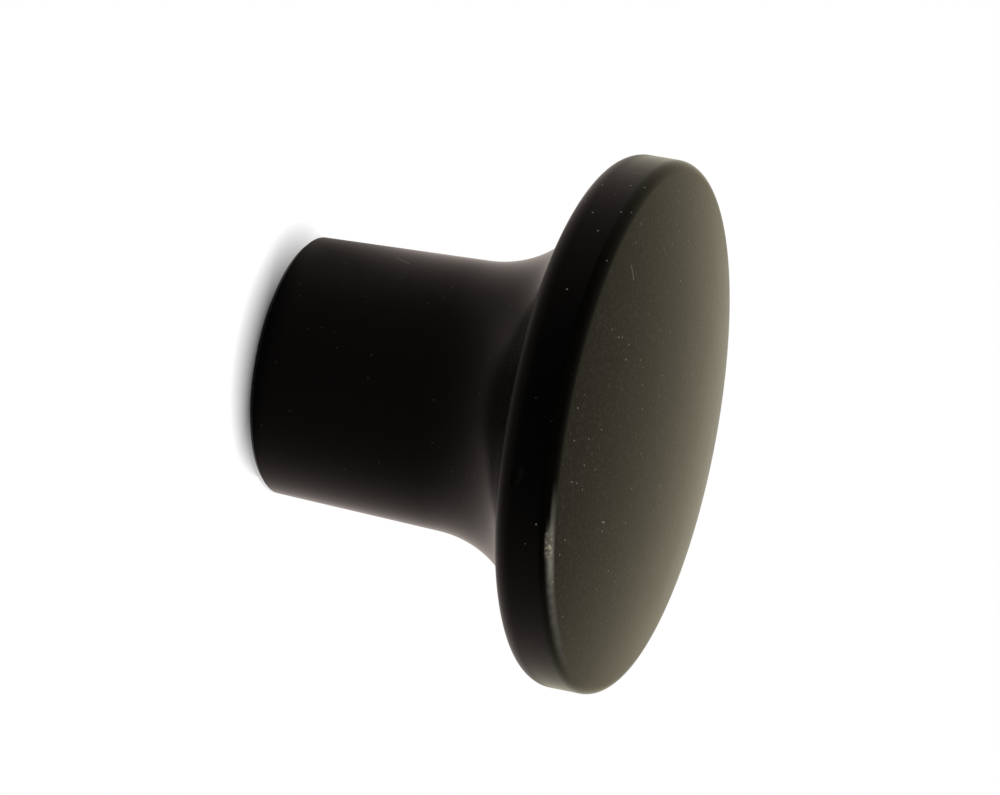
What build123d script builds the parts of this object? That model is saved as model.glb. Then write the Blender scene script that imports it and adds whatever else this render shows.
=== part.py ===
from build123d import *

import os
from math import radians, tan

# A round cabinet knob with a mushroom head, one solid, in millimetres.
# The origin is the middle of the foot, which bears on the door, and +Z runs out along the knob's axis.

# Head: a thick disc with a straight rim and a domed face
head_diameter = 40.0
rim_width = 4.4
face_crown = 2.6
front_edge_radius = 1.0
back_edge_radius = 1.5

# Stem: it widens a little from the foot to the neck
foot_diameter = 19.6
neck_diameter = 20.5
stem_length = 13.4
foot_edge_chamfer = 0.3

# Cove: the hollow that sweeps from the neck out to the back of the rim
cove_height = 9.6

# Hole: blind, tapped from the foot for an M4 cabinet screw
tap_drill_diameter = 3.3
tap_drill_depth = 14.0
drill_point_angle = 118.0
mouth_diameter = 4.5
mouth_angle = 90.0

head_radius = head_diameter / 2
foot_radius = foot_diameter / 2
neck_radius = neck_diameter / 2
rim_back_height = stem_length + cove_height
rim_front_height = rim_back_height + rim_width
knob_height = rim_front_height + face_crown

drill_radius = tap_drill_diameter / 2
mouth_radius = mouth_diameter / 2
mouth_depth = (mouth_radius - drill_radius) / tan(radians(mouth_angle / 2))
drill_point_height = tap_drill_depth + drill_radius / tan(radians(drill_point_angle / 2))

with BuildPart() as knob:
    # The half section is drawn with sharp corners, which are broken before it is turned about the axis
    with BuildSketch(Plane.XZ) as half_section:
        with BuildLine():
            foot = Line((0, 0), (foot_radius, 0))
            stem = Line(foot @ 1, (neck_radius, stem_length))
            cove = TangentArc(stem @ 1, (head_radius, rim_back_height), tangent=stem % 1)
            rim = Line(cove @ 1, (head_radius, rim_front_height))
            face = TangentArc((0, knob_height), rim @ 1, tangent=(1, 0))
            Line(face @ 0, foot @ 0)
        make_face()
        chamfer(half_section.vertices().sort_by_distance(foot @ 1)[0], length=foot_edge_chamfer)
        fillet(half_section.vertices().sort_by_distance(rim @ 0)[0], radius=back_edge_radius)
        fillet(half_section.vertices().sort_by_distance(rim @ 1)[0], radius=front_edge_radius)
    revolve(axis=Axis.Z)

    # The drilled hole has a countersunk mouth, a straight wall and the drill's own point
    with BuildSketch(Plane.XZ):
        with BuildLine():
            Polyline(
                (0, 0),
                (mouth_radius, 0),
                (drill_radius, mouth_depth),
                (drill_radius, tap_drill_depth),
                (0, drill_point_height),
                close=True,
            )
        make_face()
    revolve(axis=Axis.Z, mode=Mode.SUBTRACT)

knob.part.label = "knob"

os.makedirs("parts", exist_ok=True)
export_step(knob.part, "parts/knob.step")
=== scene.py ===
# A black cabinet knob with a mushroom head, standing on its foot on a pale surface, in metres.

import math

import bmesh
import bpy
from mathutils import Matrix, Vector, noise


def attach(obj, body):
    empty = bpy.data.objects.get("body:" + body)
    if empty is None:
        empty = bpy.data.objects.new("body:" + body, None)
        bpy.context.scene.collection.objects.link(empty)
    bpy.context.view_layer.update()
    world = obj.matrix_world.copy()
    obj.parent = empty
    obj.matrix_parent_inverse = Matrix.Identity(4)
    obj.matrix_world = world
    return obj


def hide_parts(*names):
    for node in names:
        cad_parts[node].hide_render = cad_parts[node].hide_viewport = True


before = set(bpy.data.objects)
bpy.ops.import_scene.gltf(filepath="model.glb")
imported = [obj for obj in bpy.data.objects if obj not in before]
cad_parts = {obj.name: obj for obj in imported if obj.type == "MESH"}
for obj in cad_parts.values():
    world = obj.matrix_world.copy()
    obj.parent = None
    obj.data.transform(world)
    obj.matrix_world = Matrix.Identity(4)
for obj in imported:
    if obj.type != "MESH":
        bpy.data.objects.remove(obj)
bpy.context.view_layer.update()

# Casting: head, rim, cove, stem and foot are one zinc die casting with its edges tumbled round.
# It is turned here from its half section, so the skin is one closed surface from face to foot.
# The foot bears on the door, and the hole in it takes the screw that comes through from behind.
mm = 0.001
head_radius = 20.0 * mm
rim_width = 4.4 * mm
face_crown = 2.6 * mm
front_edge_radius = 1.0 * mm
back_edge_radius = 1.5 * mm
foot_radius = 9.8 * mm
foot_edge_chamfer = 0.3 * mm
neck_radius = 10.25 * mm
stem_length = 13.4 * mm
cove_height = 9.6 * mm
hole_mouth_radius = 2.25 * mm
hole_neck_radius = 2.02 * mm

steps_on_the_face = 22
steps_on_the_front_edge = 40
steps_along_the_rim = 16
steps_on_the_back_edge = 20
steps_on_the_cove = 34
steps_along_the_stem = 10

rim_back_height = stem_length + cove_height
rim_front_height = rim_back_height + rim_width
knob_height = rim_front_height + face_crown

# The face is part of a large ball, and the front edge rolls off it until it meets the rim
face_ball_radius = (head_radius**2 + face_crown**2) / (2 * face_crown)
face_ball_height = knob_height - face_ball_radius
front_roll_radius = head_radius - front_edge_radius
face_to_roll = face_ball_radius - front_edge_radius
front_roll_height = face_ball_height + math.sqrt(face_to_roll**2 - front_roll_radius**2)
face_angle = math.asin(front_roll_radius / face_to_roll)
quarter_turn = math.pi / 2
front_roll_angle = quarter_turn - face_angle

# The cove is an arc that runs on from the stem's slope and ends in the roll of the rim's back edge
stem_slope = math.atan2(neck_radius - foot_radius, stem_length)
cove_run = head_radius - neck_radius
cove_chord_angle = math.atan2(cove_run, cove_height)
cove_chord = math.hypot(cove_run, cove_height)
cove_radius = cove_chord / (2 * math.sin(cove_chord_angle - stem_slope))
cove_centre_radius = neck_radius + cove_radius * math.cos(stem_slope)
cove_centre_height = stem_length - cove_radius * math.sin(stem_slope)
back_roll_radius = head_radius - back_edge_radius
back_roll_offset = cove_centre_radius - back_roll_radius
cove_to_roll = cove_radius + back_edge_radius
back_roll_height = cove_centre_height + math.sqrt(cove_to_roll**2 - back_roll_offset**2)
back_roll_tilt = math.asin(back_roll_offset / cove_to_roll)
back_roll_angle = quarter_turn - back_roll_tilt
cove_sweep = quarter_turn - stem_slope - back_roll_tilt

casting = bmesh.new()


def roll(point, centre_radius, centre_height, angle, steps):
    """Carries the half section's last point round a centre, which leaves an arc behind it."""
    centre = (centre_radius, 0, centre_height)
    spun = bmesh.ops.spin(casting, geom=[point], cent=centre, axis=(0, 1, 0), angle=angle, steps=steps)
    return next(item for item in spun["geom_last"] if isinstance(item, bmesh.types.BMVert))


def run_to(point, radius, height, steps=1):
    """Draws the half section straight on to a new last point, in even steps."""
    start = point.co.copy()
    end = Vector((radius, 0, height))
    for step in range(1, steps + 1):
        point = bmesh.ops.extrude_vert_indiv(casting, verts=[point])["verts"][0]
        point.co = start.lerp(end, step / steps)
    return point


pen = casting.verts.new((0, 0, knob_height))
pen = roll(pen, 0, face_ball_height, face_angle, steps_on_the_face)
pen = roll(pen, front_roll_radius, front_roll_height, front_roll_angle, steps_on_the_front_edge)
pen = run_to(pen, head_radius, back_roll_height, steps_along_the_rim)
pen = roll(pen, back_roll_radius, back_roll_height, back_roll_angle, steps_on_the_back_edge)
pen = roll(pen, cove_centre_radius, cove_centre_height, -cove_sweep, steps_on_the_cove)
pen = run_to(pen, foot_radius, foot_edge_chamfer, steps_along_the_stem)
pen = run_to(pen, foot_radius - foot_edge_chamfer, 0)
pen = run_to(pen, hole_mouth_radius, 0)
hole_neck_height = hole_mouth_radius - hole_neck_radius
run_to(pen, hole_neck_radius, hole_neck_height)

# The steps round the axis are close together in the second turn, where the head has been knocked
turns_in_degrees = (-54, -28, -278)
steps_in_turns = (54, 200, 278)
seam_gap = 0.001 * mm
section = casting.verts[:] + casting.edges[:]
for turn, steps in zip(turns_in_degrees, steps_in_turns):
    section = bmesh.ops.spin(
        casting,
        geom=section,
        cent=(0, 0, 0),
        axis=(0, 0, 1),
        angle=math.radians(turn),
        steps=steps,
    )["geom_last"]
bmesh.ops.remove_doubles(casting, verts=casting.verts, dist=seam_gap)


def outward(azimuth):
    """The level direction out from the axis, in degrees from the near side towards +X."""
    return Vector((math.sin(math.radians(azimuth)), -math.cos(math.radians(azimuth)), 0))


# Nick: the front edge was knocked against something hard, which bruised the zinc under the coat.
# The blow left a small flat with a broken surface across the roll of the edge.
upward = Vector((0, 0, 1))
nick_azimuth = 28.0
nick_tilt = math.radians(39)
nick_depth = 0.035 * mm
nick_roughness = 0.03 * mm
nick_grain = 0.16 * mm
nick_facing = outward(nick_azimuth) * math.cos(nick_tilt) + upward * math.sin(nick_tilt)
front_roll_centre = outward(nick_azimuth) * front_roll_radius + upward * front_roll_height
nick_place = front_roll_centre + nick_facing * (front_edge_radius - nick_depth)
for vert in casting.verts:
    proud = nick_facing.dot(vert.co - nick_place)
    if proud > 0:
        left_standing = nick_roughness * noise.noise(vert.co / nick_grain)
        vert.co -= nick_facing * max(proud - left_standing, 0)

# Dent: another knock pressed a shallow slanting pit into the rim, close to its back edge.
# The coat is whole there, so the pit shows only by the way it turns the light.
dent_azimuth = 14.0
dent_height = 24.65 * mm
dent_slant = math.radians(17)
dent_half_length = 1.0 * mm
dent_half_width = 0.42 * mm
dent_depth = 0.075 * mm
dent_facing = outward(dent_azimuth)
dent_place = dent_facing * head_radius + upward * dent_height
dent_along = upward * math.sin(dent_slant) - upward.cross(dent_facing) * math.cos(dent_slant)
dent_across = dent_facing.cross(dent_along)
for vert in casting.verts:
    from_dent = vert.co - dent_place
    lengthways = dent_along.dot(from_dent) / dent_half_length
    crossways = dent_across.dot(from_dent) / dent_half_width
    share = lengthways**2 + crossways**2
    if share < 1 and dent_facing.dot(from_dent) > -head_radius:
        vert.co -= dent_facing * dent_depth * (1 - share) ** 2

# Screw hole: an M4 thread is tapped into the drilled foot, and its mouth is countersunk.
# The tap cuts through the coat, so the thread is bare zinc down to the cone that the drill left.
thread_pitch = 0.7 * mm
thread_root_radius = 2.0 * mm
thread_crest_radius = 1.65 * mm
thread_half_angle = math.radians(30)
thread_turns = 19
thread_end = 12.0 * mm
thread_run_out = 0.15 * mm
steps_to_a_turn = 36
drill_depth = 14.0 * mm
drill_half_angle = math.radians(59)
thread_seam_gap = 0.002 * mm
ledge_seam_gap = 0.0005 * mm
crease_angle = math.radians(25)
coat_index = 0
thread_index = 1

crest_width = thread_pitch / 4
flank_run = (thread_root_radius - thread_crest_radius) * math.tan(thread_half_angle)
root_half = (thread_pitch - crest_width - 2 * flank_run) / 2
drill_point = drill_depth + thread_crest_radius / math.tan(drill_half_angle)

# One ridge is drawn in section and wound up the hole, from a turn below the foot
hole = bmesh.new()
ridge = [hole.verts.new((thread_root_radius, 0, -thread_pitch))]
for radius, rise in (
    (thread_root_radius, root_half),
    (thread_crest_radius, flank_run),
    (thread_crest_radius, crest_width),
    (thread_root_radius, flank_run),
    (thread_root_radius, root_half),
):
    tip = bmesh.ops.extrude_vert_indiv(hole, verts=[ridge[-1]])["verts"][0]
    tip.co = (radius, 0, ridge[-1].co.z + rise)
    ridge.append(tip)
bmesh.ops.spin(
    hole,
    geom=hole.verts[:] + hole.edges[:],
    cent=(0, 0, 0),
    axis=(0, 0, 1),
    dvec=(0, 0, thread_pitch / steps_to_a_turn),
    angle=2 * math.pi * thread_turns,
    steps=steps_to_a_turn * thread_turns,
)
bmesh.ops.remove_doubles(hole, verts=hole.verts, dist=thread_seam_gap)


def whole(sheet):
    """Everything in a sheet, for a cut that goes right through it."""
    return sheet.verts[:] + sheet.edges[:] + sheet.faces[:]


def rim_edges(sheet, height):
    """The open edges of a sheet at one height."""
    level = 0.005 * mm
    open_edges = [edge for edge in sheet.edges if edge.is_boundary]
    return [edge for edge in open_edges if all(abs(vert.co.z - height) < level for vert in edge.verts)]


thread_foot = (0, 0, hole_neck_height)
thread_top = (0, 0, thread_end)
bmesh.ops.bisect_plane(hole, geom=whole(hole), plane_co=thread_foot, plane_no=upward, clear_inner=True)
bmesh.ops.bisect_plane(hole, geom=whole(hole), plane_co=thread_top, plane_no=upward, clear_outer=True)

# Above the thread the drilled wall is plain, and it ends in the drill's own cone
bore_start = thread_end + thread_run_out
bore = bmesh.ops.create_circle(hole, segments=steps_to_a_turn, radius=thread_crest_radius)["verts"]
bmesh.ops.translate(hole, verts=bore, vec=(0, 0, bore_start))
bore_rim = [edge for edge in hole.edges if all(vert in bore for vert in edge.verts)]
bmesh.ops.bridge_loops(hole, edges=rim_edges(hole, thread_end) + bore_rim)
drilled = bmesh.ops.extrude_edge_only(hole, edges=bore_rim)["geom"]
bore_end = [item for item in drilled if isinstance(item, bmesh.types.BMVert)]
bmesh.ops.translate(hole, verts=bore_end, vec=(0, 0, drill_depth - bore_start))
bore_end_rim = [item for item in drilled if isinstance(item, bmesh.types.BMEdge)]
pointed = bmesh.ops.extrude_edge_only(hole, edges=bore_end_rim)["geom"]
cone_tip = [item for item in pointed if isinstance(item, bmesh.types.BMVert)]
bmesh.ops.pointmerge(hole, verts=cone_tip, merge_co=(0, 0, drill_point))

hole_mesh = bpy.data.meshes.new("screw_hole")
hole.to_mesh(hole_mesh)
hole.free()
casting.from_mesh(hole_mesh)
bpy.data.meshes.remove(hole_mesh)

# The thread starts on a narrow flat ledge at the foot of the countersink
bmesh.ops.triangle_fill(
    casting,
    edges=rim_edges(casting, hole_neck_height),
    use_beauty=True,
    use_dissolve=False,
    normal=(0, 0, -1),
)
bmesh.ops.remove_doubles(casting, verts=casting.verts, dist=ledge_seam_gap)
bmesh.ops.recalc_face_normals(casting, faces=casting.faces)
for face in casting.faces:
    face.smooth = True
    middle = face.calc_center_median()
    in_the_hole = middle.xy.length < hole_neck_radius and middle.z < knob_height / 2
    face.material_index = thread_index if in_the_hole else coat_index
for edge in casting.edges:
    edge.smooth = edge.calc_face_angle(0.0) < crease_angle

knob_mesh = bpy.data.meshes.new("knob_casting")
casting.to_mesh(knob_mesh)
casting.free()
knob = bpy.data.objects.new("knob_casting", knob_mesh)
bpy.context.scene.collection.objects.link(knob)
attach(knob, "root")
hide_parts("knob")


class Finish:
    """One socket of a material. Sums on it add Math nodes to the same material."""

    def __init__(self, tree, socket=None):
        self.tree = tree
        self.socket = socket

    def add(self, kind, settings, sockets, output=0):
        """Adds a node: its settings first, then the value or link of each socket that is named."""
        node = self.tree.nodes.new(kind)
        for name, value in settings.items():
            setattr(node, name, value)
        for name, value in sockets.items():
            if isinstance(value, Finish):
                self.tree.links.new(value.socket, node.inputs[name])
            else:
                node.inputs[name].default_value = value
        return Finish(self.tree, node.outputs[output] if node.outputs else None)

    def other(self, name):
        """Another output of the node that this socket belongs to."""
        return Finish(self.tree, self.socket.node.outputs[name])

    def work(self, operation, first, second):
        """One sum on two values, each a number or a socket."""
        return self.add("ShaderNodeMath", {"operation": operation}, {0: first, 1: second})

    def __add__(self, other):
        return self.work("ADD", self, other)

    def __radd__(self, other):
        return self.work("ADD", other, self)

    def __sub__(self, other):
        return self.work("SUBTRACT", self, other)

    def __rsub__(self, other):
        return self.work("SUBTRACT", other, self)

    def __mul__(self, other):
        return self.work("MULTIPLY", self, other)

    def __rmul__(self, other):
        return self.work("MULTIPLY", other, self)

    def __truediv__(self, other):
        return self.work("DIVIDE", self, other)

    def __rtruediv__(self, other):
        return self.work("DIVIDE", other, self)


def new_material(name):
    """A material with an empty node tree, and the sheet that its nodes are added to."""
    material = bpy.data.materials.new(name)
    material.use_nodes = True
    material.node_tree.nodes.clear()
    return material, Finish(material.node_tree)


def ramp(value, nothing, full):
    """0 where the value is the first one, rising smoothly to 1 where it is the second."""
    ends = {"Value": value, "From Min": nothing, "From Max": full}
    return value.add("ShaderNodeMapRange", {"interpolation_type": "SMOOTHSTEP"}, ends)


def tinted(share, first, second):
    """The first colour, turning into the second as the share goes from 0 to 1."""
    return share.add("ShaderNodeMix", {"data_type": "RGBA"}, {0: share, 6: first, 7: second}, 2)


def vector_work(operation, first, second, output=0):
    """One step of vector work, on a socket and a socket or a fixed place."""
    return first.add("ShaderNodeVectorMath", {"operation": operation}, {0: first, 1: second}, output)


# Coat: a matt black enamel, sprayed on and baked. Use has rubbed it thin and grey at the edges, with a
# painted highlight.
# Dust and a few light scratches lie on it, most of them on the face.
degree = math.radians(1)
coat_black = (0.0015, 0.0013, 0.0011, 1.0)
dust_grey = (0.25, 0.235, 0.2, 1.0)
wear_and_highlight_grey = (0.45, 0.43, 0.36, 1.0)
coat_specular_tint = (0.35, 0.35, 0.35, 1.0)
coat_ior = 1.172
sprayed_roughness = 0.22
rougher_face = 0.05
rougher_back_roll = 0.1
rougher_clouds = 0.05
rougher_dust = 0.3
rougher_chips = 0.2
grain_size = 0.3 * mm
grain_height = 0.004 * mm
peel_size = 0.7 * mm
peel_in_grains = 1.2
dust_in_grains = 4.0
cloud_size = 5.0 * mm

coat_material, coat = new_material("black_coat")
on_knob = coat.add("ShaderNodeTexCoord", {}, {}, "Object")
spot_x = coat.add("ShaderNodeSeparateXYZ", {}, {"Vector": on_knob}, "X")
spot_y = spot_x.other("Y")
spot_z = spot_x.other("Z")
spot_radius = coat.work("POWER", spot_x * spot_x + spot_y * spot_y, 0.5)


def noise_of(size, detail=3.0):
    """Even noise about 0.5 whose lumps are of that size."""
    return coat.add("ShaderNodeTexNoise", {}, {"Vector": on_knob, "Scale": 1 / size, "Detail": detail})


# The tilt of the front edge's roll, from 0 at the rim up to the face
edge_tilt = coat.work("ARCTAN2", spot_z - front_roll_height, spot_radius - front_roll_radius)
on_the_face = ramp(edge_tilt, 70 * degree, 95 * degree)
on_the_head = ramp(spot_z, 23.2 * mm, 23.8 * mm)
on_the_back_roll = ramp(spot_z, 21.9 * mm, 22.6 * mm) * ramp(spot_z, 25.0 * mm, 24.2 * mm)

grain = noise_of(grain_size)
peel = noise_of(peel_size, detail=2.0)
cloud = noise_of(cloud_size)


def dust(spacing, size, share):
    """Specks of dust: one to a cell of that spacing at most, in that share of the cells."""
    away = coat.add("ShaderNodeTexVoronoi", {}, {"Vector": on_knob, "Scale": 1 / spacing}, "Distance")
    lot = coat.add("ShaderNodeSeparateColor", {}, {"Color": away.other("Color")}, "Red")
    speck_edge = 1.1 * size / spacing
    speck_core = 0.4 * size / spacing
    return ramp(away, speck_edge, speck_core) * coat.work("LESS_THAN", lot, share)


def on_face(radius, azimuth):
    """A place on the domed face."""
    height = face_ball_height + math.sqrt(face_ball_radius**2 - radius**2)
    return outward(azimuth) * radius + upward * height


def on_stem(height, azimuth):
    """A place on the stem's wall."""
    return outward(azimuth) * (foot_radius + height * math.tan(stem_slope)) + upward * height


def on_front_edge(tilt, azimuth):
    """A place on the roll of the front edge."""
    out = front_roll_radius + front_edge_radius * math.cos(tilt)
    return outward(azimuth) * out + upward * (front_roll_height + front_edge_radius * math.sin(tilt))


def mark(start, end, half_width, strength):
    """A fine mark on the coat from one place to another."""
    length = (end - start).length
    along = (end - start) / length
    from_start = vector_work("SUBTRACT", on_knob, start)
    run = vector_work("DOT_PRODUCT", from_start, along, "Value")
    kept = coat.add("ShaderNodeClamp", {}, {"Value": run, "Min": 0.0, "Max": length})
    nearest = coat.add("ShaderNodeVectorMath", {"operation": "SCALE"}, {0: along, "Scale": kept})
    away = vector_work("DISTANCE", from_start, nearest, "Value")
    mark_edge = 1.3 * half_width
    mark_core = 0.4 * half_width
    return ramp(away, mark_edge, mark_core) * strength


face_scratch = mark(
    on_face(17.1 * mm, -41.5),
    on_face(16.1 * mm, -40.2),
    half_width=0.05 * mm,
    strength=0.5,
)
face_fleck = mark(
    on_face(12.95 * mm, 33.0),
    on_face(12.7 * mm, 33.8),
    half_width=0.055 * mm,
    strength=1.0,
)
stem_scratch = mark(
    on_stem(7.5 * mm, -65.2),
    on_stem(8.8 * mm, -61.2),
    half_width=0.05 * mm,
    strength=0.4,
)
marked = face_scratch + face_fleck + stem_scratch

# Fine dust and a thin film lie on the face, and coarse dust on the whole head with a little elsewhere
fine_dust_strength = 0.5
coarse_dust_strength = 0.15
coarse_dust_more_on_head = 0.7
film_strength = 0.05
fine_dust = dust(spacing=0.45 * mm, size=0.045 * mm, share=0.8)
coarse_dust = dust(spacing=1.05 * mm, size=0.085 * mm, share=0.75)
fine_settled = fine_dust * on_the_face * fine_dust_strength
coarse_settled = coarse_dust * (on_the_head * coarse_dust_more_on_head + coarse_dust_strength)
film = ramp(grain, 0.45, 0.75) * on_the_face * film_strength
dusty = coat.add("ShaderNodeClamp", {}, {"Value": fine_settled + coarse_settled + marked + film})

# In the nick the coat is broken through to the zinc, in patches; one bright fleck of zinc among them is
# a painted glint
chip_size = 0.26 * mm
lump_size = 0.5 * mm
chip_tilt = 45 * degree
chip_end = 1.3 * mm
chip_full = 0.8 * mm
chip_raggedness = 1.6 * mm
chip_strength = 0.14
chip_more_in_patches = 0.4
chip_metal = 0.5
lumps = noise_of(lump_size)
from_nick = vector_work("DISTANCE", on_knob, nick_place, "Value")
chip_length = ramp(from_nick + (lumps - 0.5) * chip_raggedness, chip_end, chip_full)
chip_width = ramp(coat.work("ABSOLUTE", edge_tilt - chip_tilt, 0.0), 24 * degree, 12 * degree)
broken = chip_length * chip_width
patches = ramp(noise_of(chip_size), 0.48, 0.7)
glint = mark(
    on_front_edge(48 * degree, 28.2),
    on_front_edge(52 * degree, 28.8),
    half_width=0.09 * mm,
    strength=0.6,
)
chipped = broken * (patches * chip_more_in_patches + chip_strength) + glint

# The front edge is rubbed and carries a painted highlight, from the nick on towards +X, less and less,
# and a little before the nick
crest_highlight_strength = 0.7
shoulder_highlight_strength = 0.28
shoulder_less_by_crest = 0.16
rub_and_highlight_less_in_nick = 0.6
short_rub_and_highlight_strength = 0.5
long_rub_and_highlight_strength = 0.45
rub_and_highlight_between_lumps = 0.6
rub_and_highlight_more_on_lumps = 0.4
# The crest of the roll carries a bright painted highlight line and its shoulder a paler painted lit
# band, both with the wear
crest = ramp(edge_tilt, 24 * degree, 48 * degree) * ramp(edge_tilt, 80 * degree, 50 * degree)
shoulder = ramp(edge_tilt, 40 * degree, 54 * degree) * ramp(edge_tilt, 84 * degree, 54 * degree)
crest_start = ramp(spot_x, 7.2 * mm, 9.6 * mm)
shoulder_start = ramp(spot_x, 4.4 * mm, 8.2 * mm)
short_rub_and_highlight = ramp(spot_x, 12.8 * mm, 9.0 * mm) * short_rub_and_highlight_strength
long_rub_and_highlight = ramp(spot_x, 22.0 * mm, 9.0 * mm) * long_rub_and_highlight_strength
near_side = ramp(spot_y, -3.0 * mm, -7.0 * mm)
uneven = ramp(lumps, 0.25, 0.65) * rub_and_highlight_more_on_lumps + rub_and_highlight_between_lumps
crest_rub_and_highlight = crest * crest_start * uneven * crest_highlight_strength
shoulder_rub_and_highlight = shoulder * shoulder_start * (shoulder_highlight_strength - crest_start * shoulder_less_by_crest)
edge_rub_and_highlight = (crest_rub_and_highlight + shoulder_rub_and_highlight) * (short_rub_and_highlight + long_rub_and_highlight) * near_side
kept_rub_and_highlight = edge_rub_and_highlight * (1 - broken * rub_and_highlight_less_in_nick)
wear_and_highlight = coat.add("ShaderNodeClamp", {}, {"Value": kept_rub_and_highlight + chipped})

coat_colour = tinted(wear_and_highlight, tinted(dusty, coat_black, dust_grey), wear_and_highlight_grey)
clean_roughness = sprayed_roughness + on_the_face * rougher_face + on_the_back_roll * rougher_back_roll
clouded_roughness = clean_roughness + (cloud - 0.5) * rougher_clouds
coat_roughness = clouded_roughness + dusty * rougher_dust + chipped * rougher_chips
coat_height = grain + peel * peel_in_grains + dusty * dust_in_grains
coat_bump = coat.add(
    "ShaderNodeBump",
    {},
    {"Strength": 1.0, "Distance": grain_height, "Height": coat_height},
)
coat_shader = coat.add(
    "ShaderNodeBsdfPrincipled",
    {},
    {
        "Base Color": coat_colour,
        "Metallic": chipped * chip_metal,
        "Roughness": coat_roughness,
        "IOR": coat_ior,
        "Specular Tint": coat_specular_tint,
        "Normal": coat_bump,
    },
)
coat.add("ShaderNodeOutputMaterial", {}, {"Surface": coat_shader})
knob_mesh.materials.append(coat_material)

# Bare thread: the tap and the drill left clean zinc in the hole, where the coat does not reach.
# It is bright, and faintly marked by the cut.
bare_zinc = (0.42, 0.41, 0.4, 1.0)
cut_mark_size = 0.2 * mm
bare_roughness = 0.25
rougher_cut_marks = 0.2
bare_material, bare = new_material("bare_thread")
in_hole = bare.add("ShaderNodeTexCoord", {}, {}, "Object")
cut_marks = bare.add("ShaderNodeTexNoise", {}, {"Vector": in_hole, "Scale": 1 / cut_mark_size})
cut_roughness = bare_roughness + cut_marks * rougher_cut_marks
bare_shader = bare.add(
    "ShaderNodeBsdfPrincipled",
    {},
    {"Base Color": bare_zinc, "Metallic": 1.0, "Roughness": cut_roughness},
)
bare.add("ShaderNodeOutputMaterial", {}, {"Surface": bare_shader})
knob_mesh.materials.append(bare_material)

# Surface: the knob stands on a round sheet of matt white card, seen as plain white with a soft shadow
# whose reach is painted.
# In the coat's gloss the card shows a painted reflection: warm, with painted shade at its near end and
# in the lee of the foot.
# It is open under the foot and clear from below, so that the foot and its hole can be seen.
card_radius = 1.5
card_opening = 9.2 * mm
card_segments = 96
card_drop = 0.02 * mm
card_white = (0.8, 0.8, 0.8, 1.0)
plain_white = (1.0, 1.0, 1.0, 1.0)
card_in_gloss = (1.0, 0.86, 0.80, 1.0)
far_end_in_gloss = (1.0, 0.94, 0.76, 1.0)
near_end_in_gloss = (0.05, 0.05, 0.05, 1.0)
lee_in_gloss = (0.35, 0.31, 0.28, 1.0)
shadow_centre = (-0.9 * mm, -4.4 * mm, 0.0)
shadow_radius = 9.7 * mm
shadow_behind = 0.2
shadow_in_front = 1.0

card_mesh = bpy.data.meshes.new("card")
card_build = bmesh.new()
bmesh.ops.create_circle(card_build, segments=card_segments, radius=card_opening)
outer_rim = bmesh.ops.extrude_edge_only(card_build, edges=card_build.edges[:])["geom"]
outer_verts = [item for item in outer_rim if isinstance(item, bmesh.types.BMVert)]
spread = card_radius / card_opening
bmesh.ops.scale(card_build, verts=outer_verts, vec=(spread, spread, 1))
bmesh.ops.translate(card_build, verts=card_build.verts, vec=(0, 0, -card_drop))
card_build.normal_update()
bmesh.ops.reverse_faces(card_build, faces=[face for face in card_build.faces if face.normal.z < 0])
card_build.to_mesh(card_mesh)
card_build.free()
card = bpy.data.objects.new("card", card_mesh)
bpy.context.scene.collection.objects.link(card)

card_material, paper = new_material("white_card")
seen_by_camera = paper.add("ShaderNodeLightPath", {}, {}, "Is Camera Ray")
seen_in_gloss = seen_by_camera.other("Is Glossy Ray")
seen_through = seen_by_camera.other("Is Transmission Ray")
place = paper.add("ShaderNodeTexCoord", {}, {}, "Object")
place_x = paper.add("ShaderNodeSeparateXYZ", {}, {"Vector": place}, "X")
place_y = place_x.other("Y")
from_axis = paper.add("ShaderNodeVectorMath", {"operation": "LENGTH"}, {0: place}, "Value")
from_shadow = vector_work("DISTANCE", place, shadow_centre, "Value")

# The shadow's reach is painted from the foot's place: it is full at the foot and fades to nothing at its
# own round edge, and inside it the matt card's real shading shows through
past_the_foot = paper.work("MAXIMUM", from_axis - foot_radius, 0.0)
within_the_shadow = paper.work("MAXIMUM", shadow_radius - from_shadow, 0.0)
shade = 1 - past_the_foot / (past_the_foot + within_the_shadow)
# The painted shadow is weaker behind the foot than in front of it
shade_depth = paper.add(
    "ShaderNodeMapRange",
    {},
    {
        "Value": place_y,
        "From Min": -2.0 * mm,
        "From Max": -9.0 * mm,
        "To Min": shadow_behind,
        "To Max": shadow_in_front,
    },
)
seen_white = (seen_by_camera + seen_in_gloss + seen_through) * (1 - shade * shade_depth)

# Painted reflection tones: warm far end, painted dark near end, painted dim lee beside the foot
far_end = ramp(place_y, 20.0 * mm, 80.0 * mm)
near_end = ramp(place_y, -60.0 * mm, -95.0 * mm)
close_by = ramp(from_axis, 34.0 * mm, 10.0 * mm)
behind = ramp(place_y, -10.0 * mm, 0.0)
lee_side = ramp(place_x, -2.0 * mm, -10.0 * mm)
far_gloss = tinted(far_end, card_in_gloss, far_end_in_gloss)
end_gloss = tinted(near_end, far_gloss, near_end_in_gloss)
card_gloss = tinted(close_by * behind * lee_side, end_gloss, lee_in_gloss)
card_tone = tinted(seen_in_gloss, plain_white, card_gloss)
matt_card = paper.add("ShaderNodeBsdfDiffuse", {}, {"Color": card_white})
white_card = paper.add("ShaderNodeEmission", {}, {"Color": card_tone, "Strength": 1.0})
upper_side = paper.add("ShaderNodeMixShader", {}, {0: seen_white, 1: matt_card, 2: white_card})
from_below = paper.add("ShaderNodeNewGeometry", {}, {}, "Backfacing")
clear = paper.add("ShaderNodeBsdfTransparent", {}, {})
card_shader = paper.add("ShaderNodeMixShader", {}, {0: from_below, 1: upper_side, 2: clear})
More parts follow.
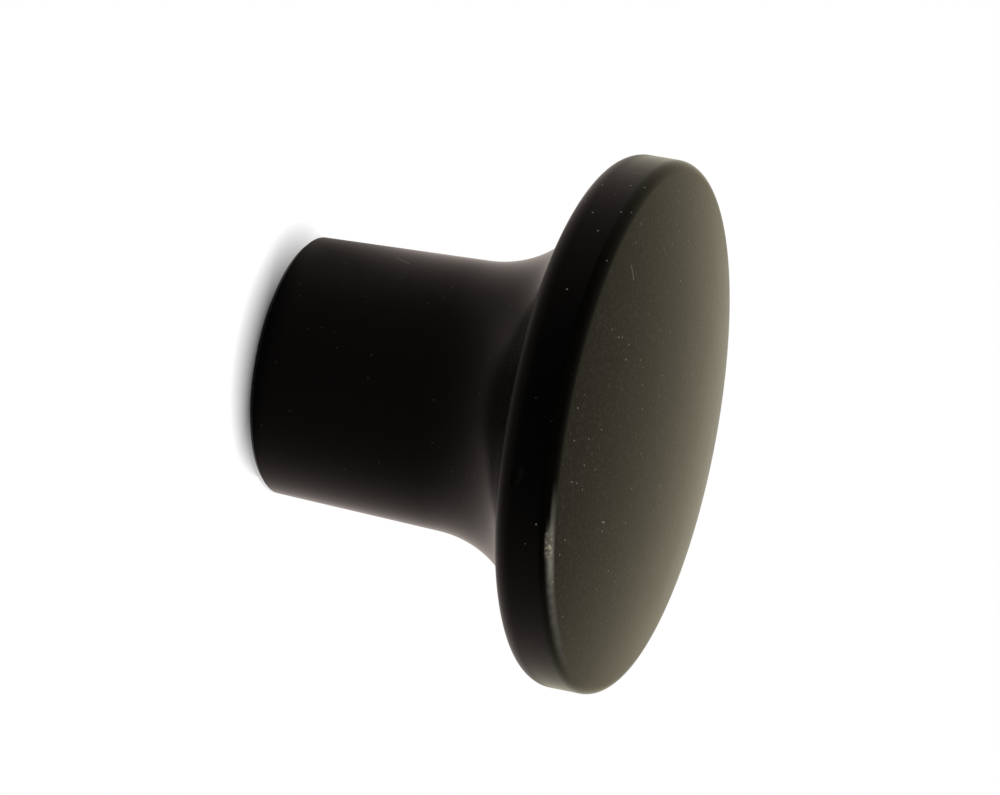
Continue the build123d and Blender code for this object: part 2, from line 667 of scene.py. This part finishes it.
paper.add("ShaderNodeOutputMaterial", {}, {"Surface": card_shader})
card_mesh.materials.append(card_material)
card_material.cycles.emission_sampling = "NONE"

# Light: a pale room lights the knob all round, with one large soft lamp above and behind it.
# The room is warm in the coat's gloss, and dimmer on the near side, where the viewer stands.
room_strength = 0.45
room_in_gloss_colour = (1.0, 0.90, 0.64, 1.0)
near_side_in_gloss = (0.35, 0.32, 0.23, 1.0)
lamp_direction = Vector((0.1, 0.6, 0.8)).normalized()
lamp_distance = 0.6
lamp_size = 0.6
lamp_power = 2.4

world = bpy.data.worlds.new("pale_room")
world.use_nodes = True
world.node_tree.nodes.clear()
room = Finish(world.node_tree)
room_by_camera = room.add("ShaderNodeLightPath", {}, {}, "Is Camera Ray")
room_in_gloss = room_by_camera.other("Is Glossy Ray")
room_through = room_by_camera.other("Is Transmission Ray")
direction = room.add("ShaderNodeTexCoord", {}, {}, "Generated")
direction_y = room.add("ShaderNodeSeparateXYZ", {}, {"Vector": direction}, "Y")
near_side_of_room = ramp(direction_y, 0.0, -0.6)
room_gloss = tinted(near_side_of_room, room_in_gloss_colour, near_side_in_gloss)
room_tone = tinted(room_in_gloss, plain_white, room_gloss)
room_light = room.add("ShaderNodeBackground", {}, {"Color": plain_white, "Strength": room_strength})
room_seen = room.add("ShaderNodeBackground", {}, {"Color": room_tone, "Strength": 1.0})
looked_at = room_by_camera + room_in_gloss + room_through
room_shader = room.add("ShaderNodeMixShader", {}, {0: looked_at, 1: room_light, 2: room_seen})
room.add("ShaderNodeOutputWorld", {}, {"Surface": room_shader})
bpy.context.scene.world = world

lamp_data = bpy.data.lights.new("top_lamp", "AREA")
lamp_data.shape = "SQUARE"
lamp_data.size = lamp_size
lamp_data.energy = lamp_power
top_lamp = bpy.data.objects.new("top_lamp", lamp_data)
bpy.context.scene.collection.objects.link(top_lamp)
top_lamp.location = upward * knob_height / 2 + lamp_direction * lamp_distance
top_lamp.rotation_mode = "QUATERNION"
top_lamp.rotation_quaternion = lamp_direction.to_track_quat("Z", "Y")
top_lamp.visible_glossy = False

# Camera: it looks down on the stem from 18 degrees, rolled so that the axis lies across the picture.
# The foot is at the left of the picture and the domed face at the right.
picture_width = 1000
sensor_width = 36.0
camera_distance = 400.0 * mm
nearest_seen = 0.01
furthest_seen = 10.0
pixels_to_the_metre = 13.417 / mm
aim_height = 13.0 * mm
look_down = math.radians(18.1)
roll_angle = math.radians(10.6)
aim_right = -39.1 / pixels_to_the_metre
aim_down = -2.3 / pixels_to_the_metre

camera_data = bpy.data.cameras.new("camera")
camera_data.sensor_width = sensor_width
camera_data.lens = sensor_width * pixels_to_the_metre * camera_distance / picture_width
camera_data.clip_start = nearest_seen
camera_data.clip_end = furthest_seen
camera = bpy.data.objects.new("camera", camera_data)
bpy.context.scene.collection.objects.link(camera)
into_picture = Vector((0, math.cos(look_down), -math.sin(look_down)))
across_axis = Vector((1, 0, 0))
along_axis = Vector((0, math.sin(look_down), math.cos(look_down)))
to_right = along_axis * math.cos(roll_angle) - across_axis * math.sin(roll_angle)
to_bottom = along_axis * math.sin(roll_angle) + across_axis * math.cos(roll_angle)
aim = Vector((0, 0, aim_height))
eye = aim - to_right * aim_right - to_bottom * aim_down - into_picture * camera_distance
camera_turn = Matrix((to_right, -to_bottom, -into_picture)).transposed()
camera.matrix_world = Matrix.Translation(eye) @ camera_turn.to_4x4()
bpy.context.scene.camera = camera

bpy.context.scene.view_settings.view_transform = "Standard"
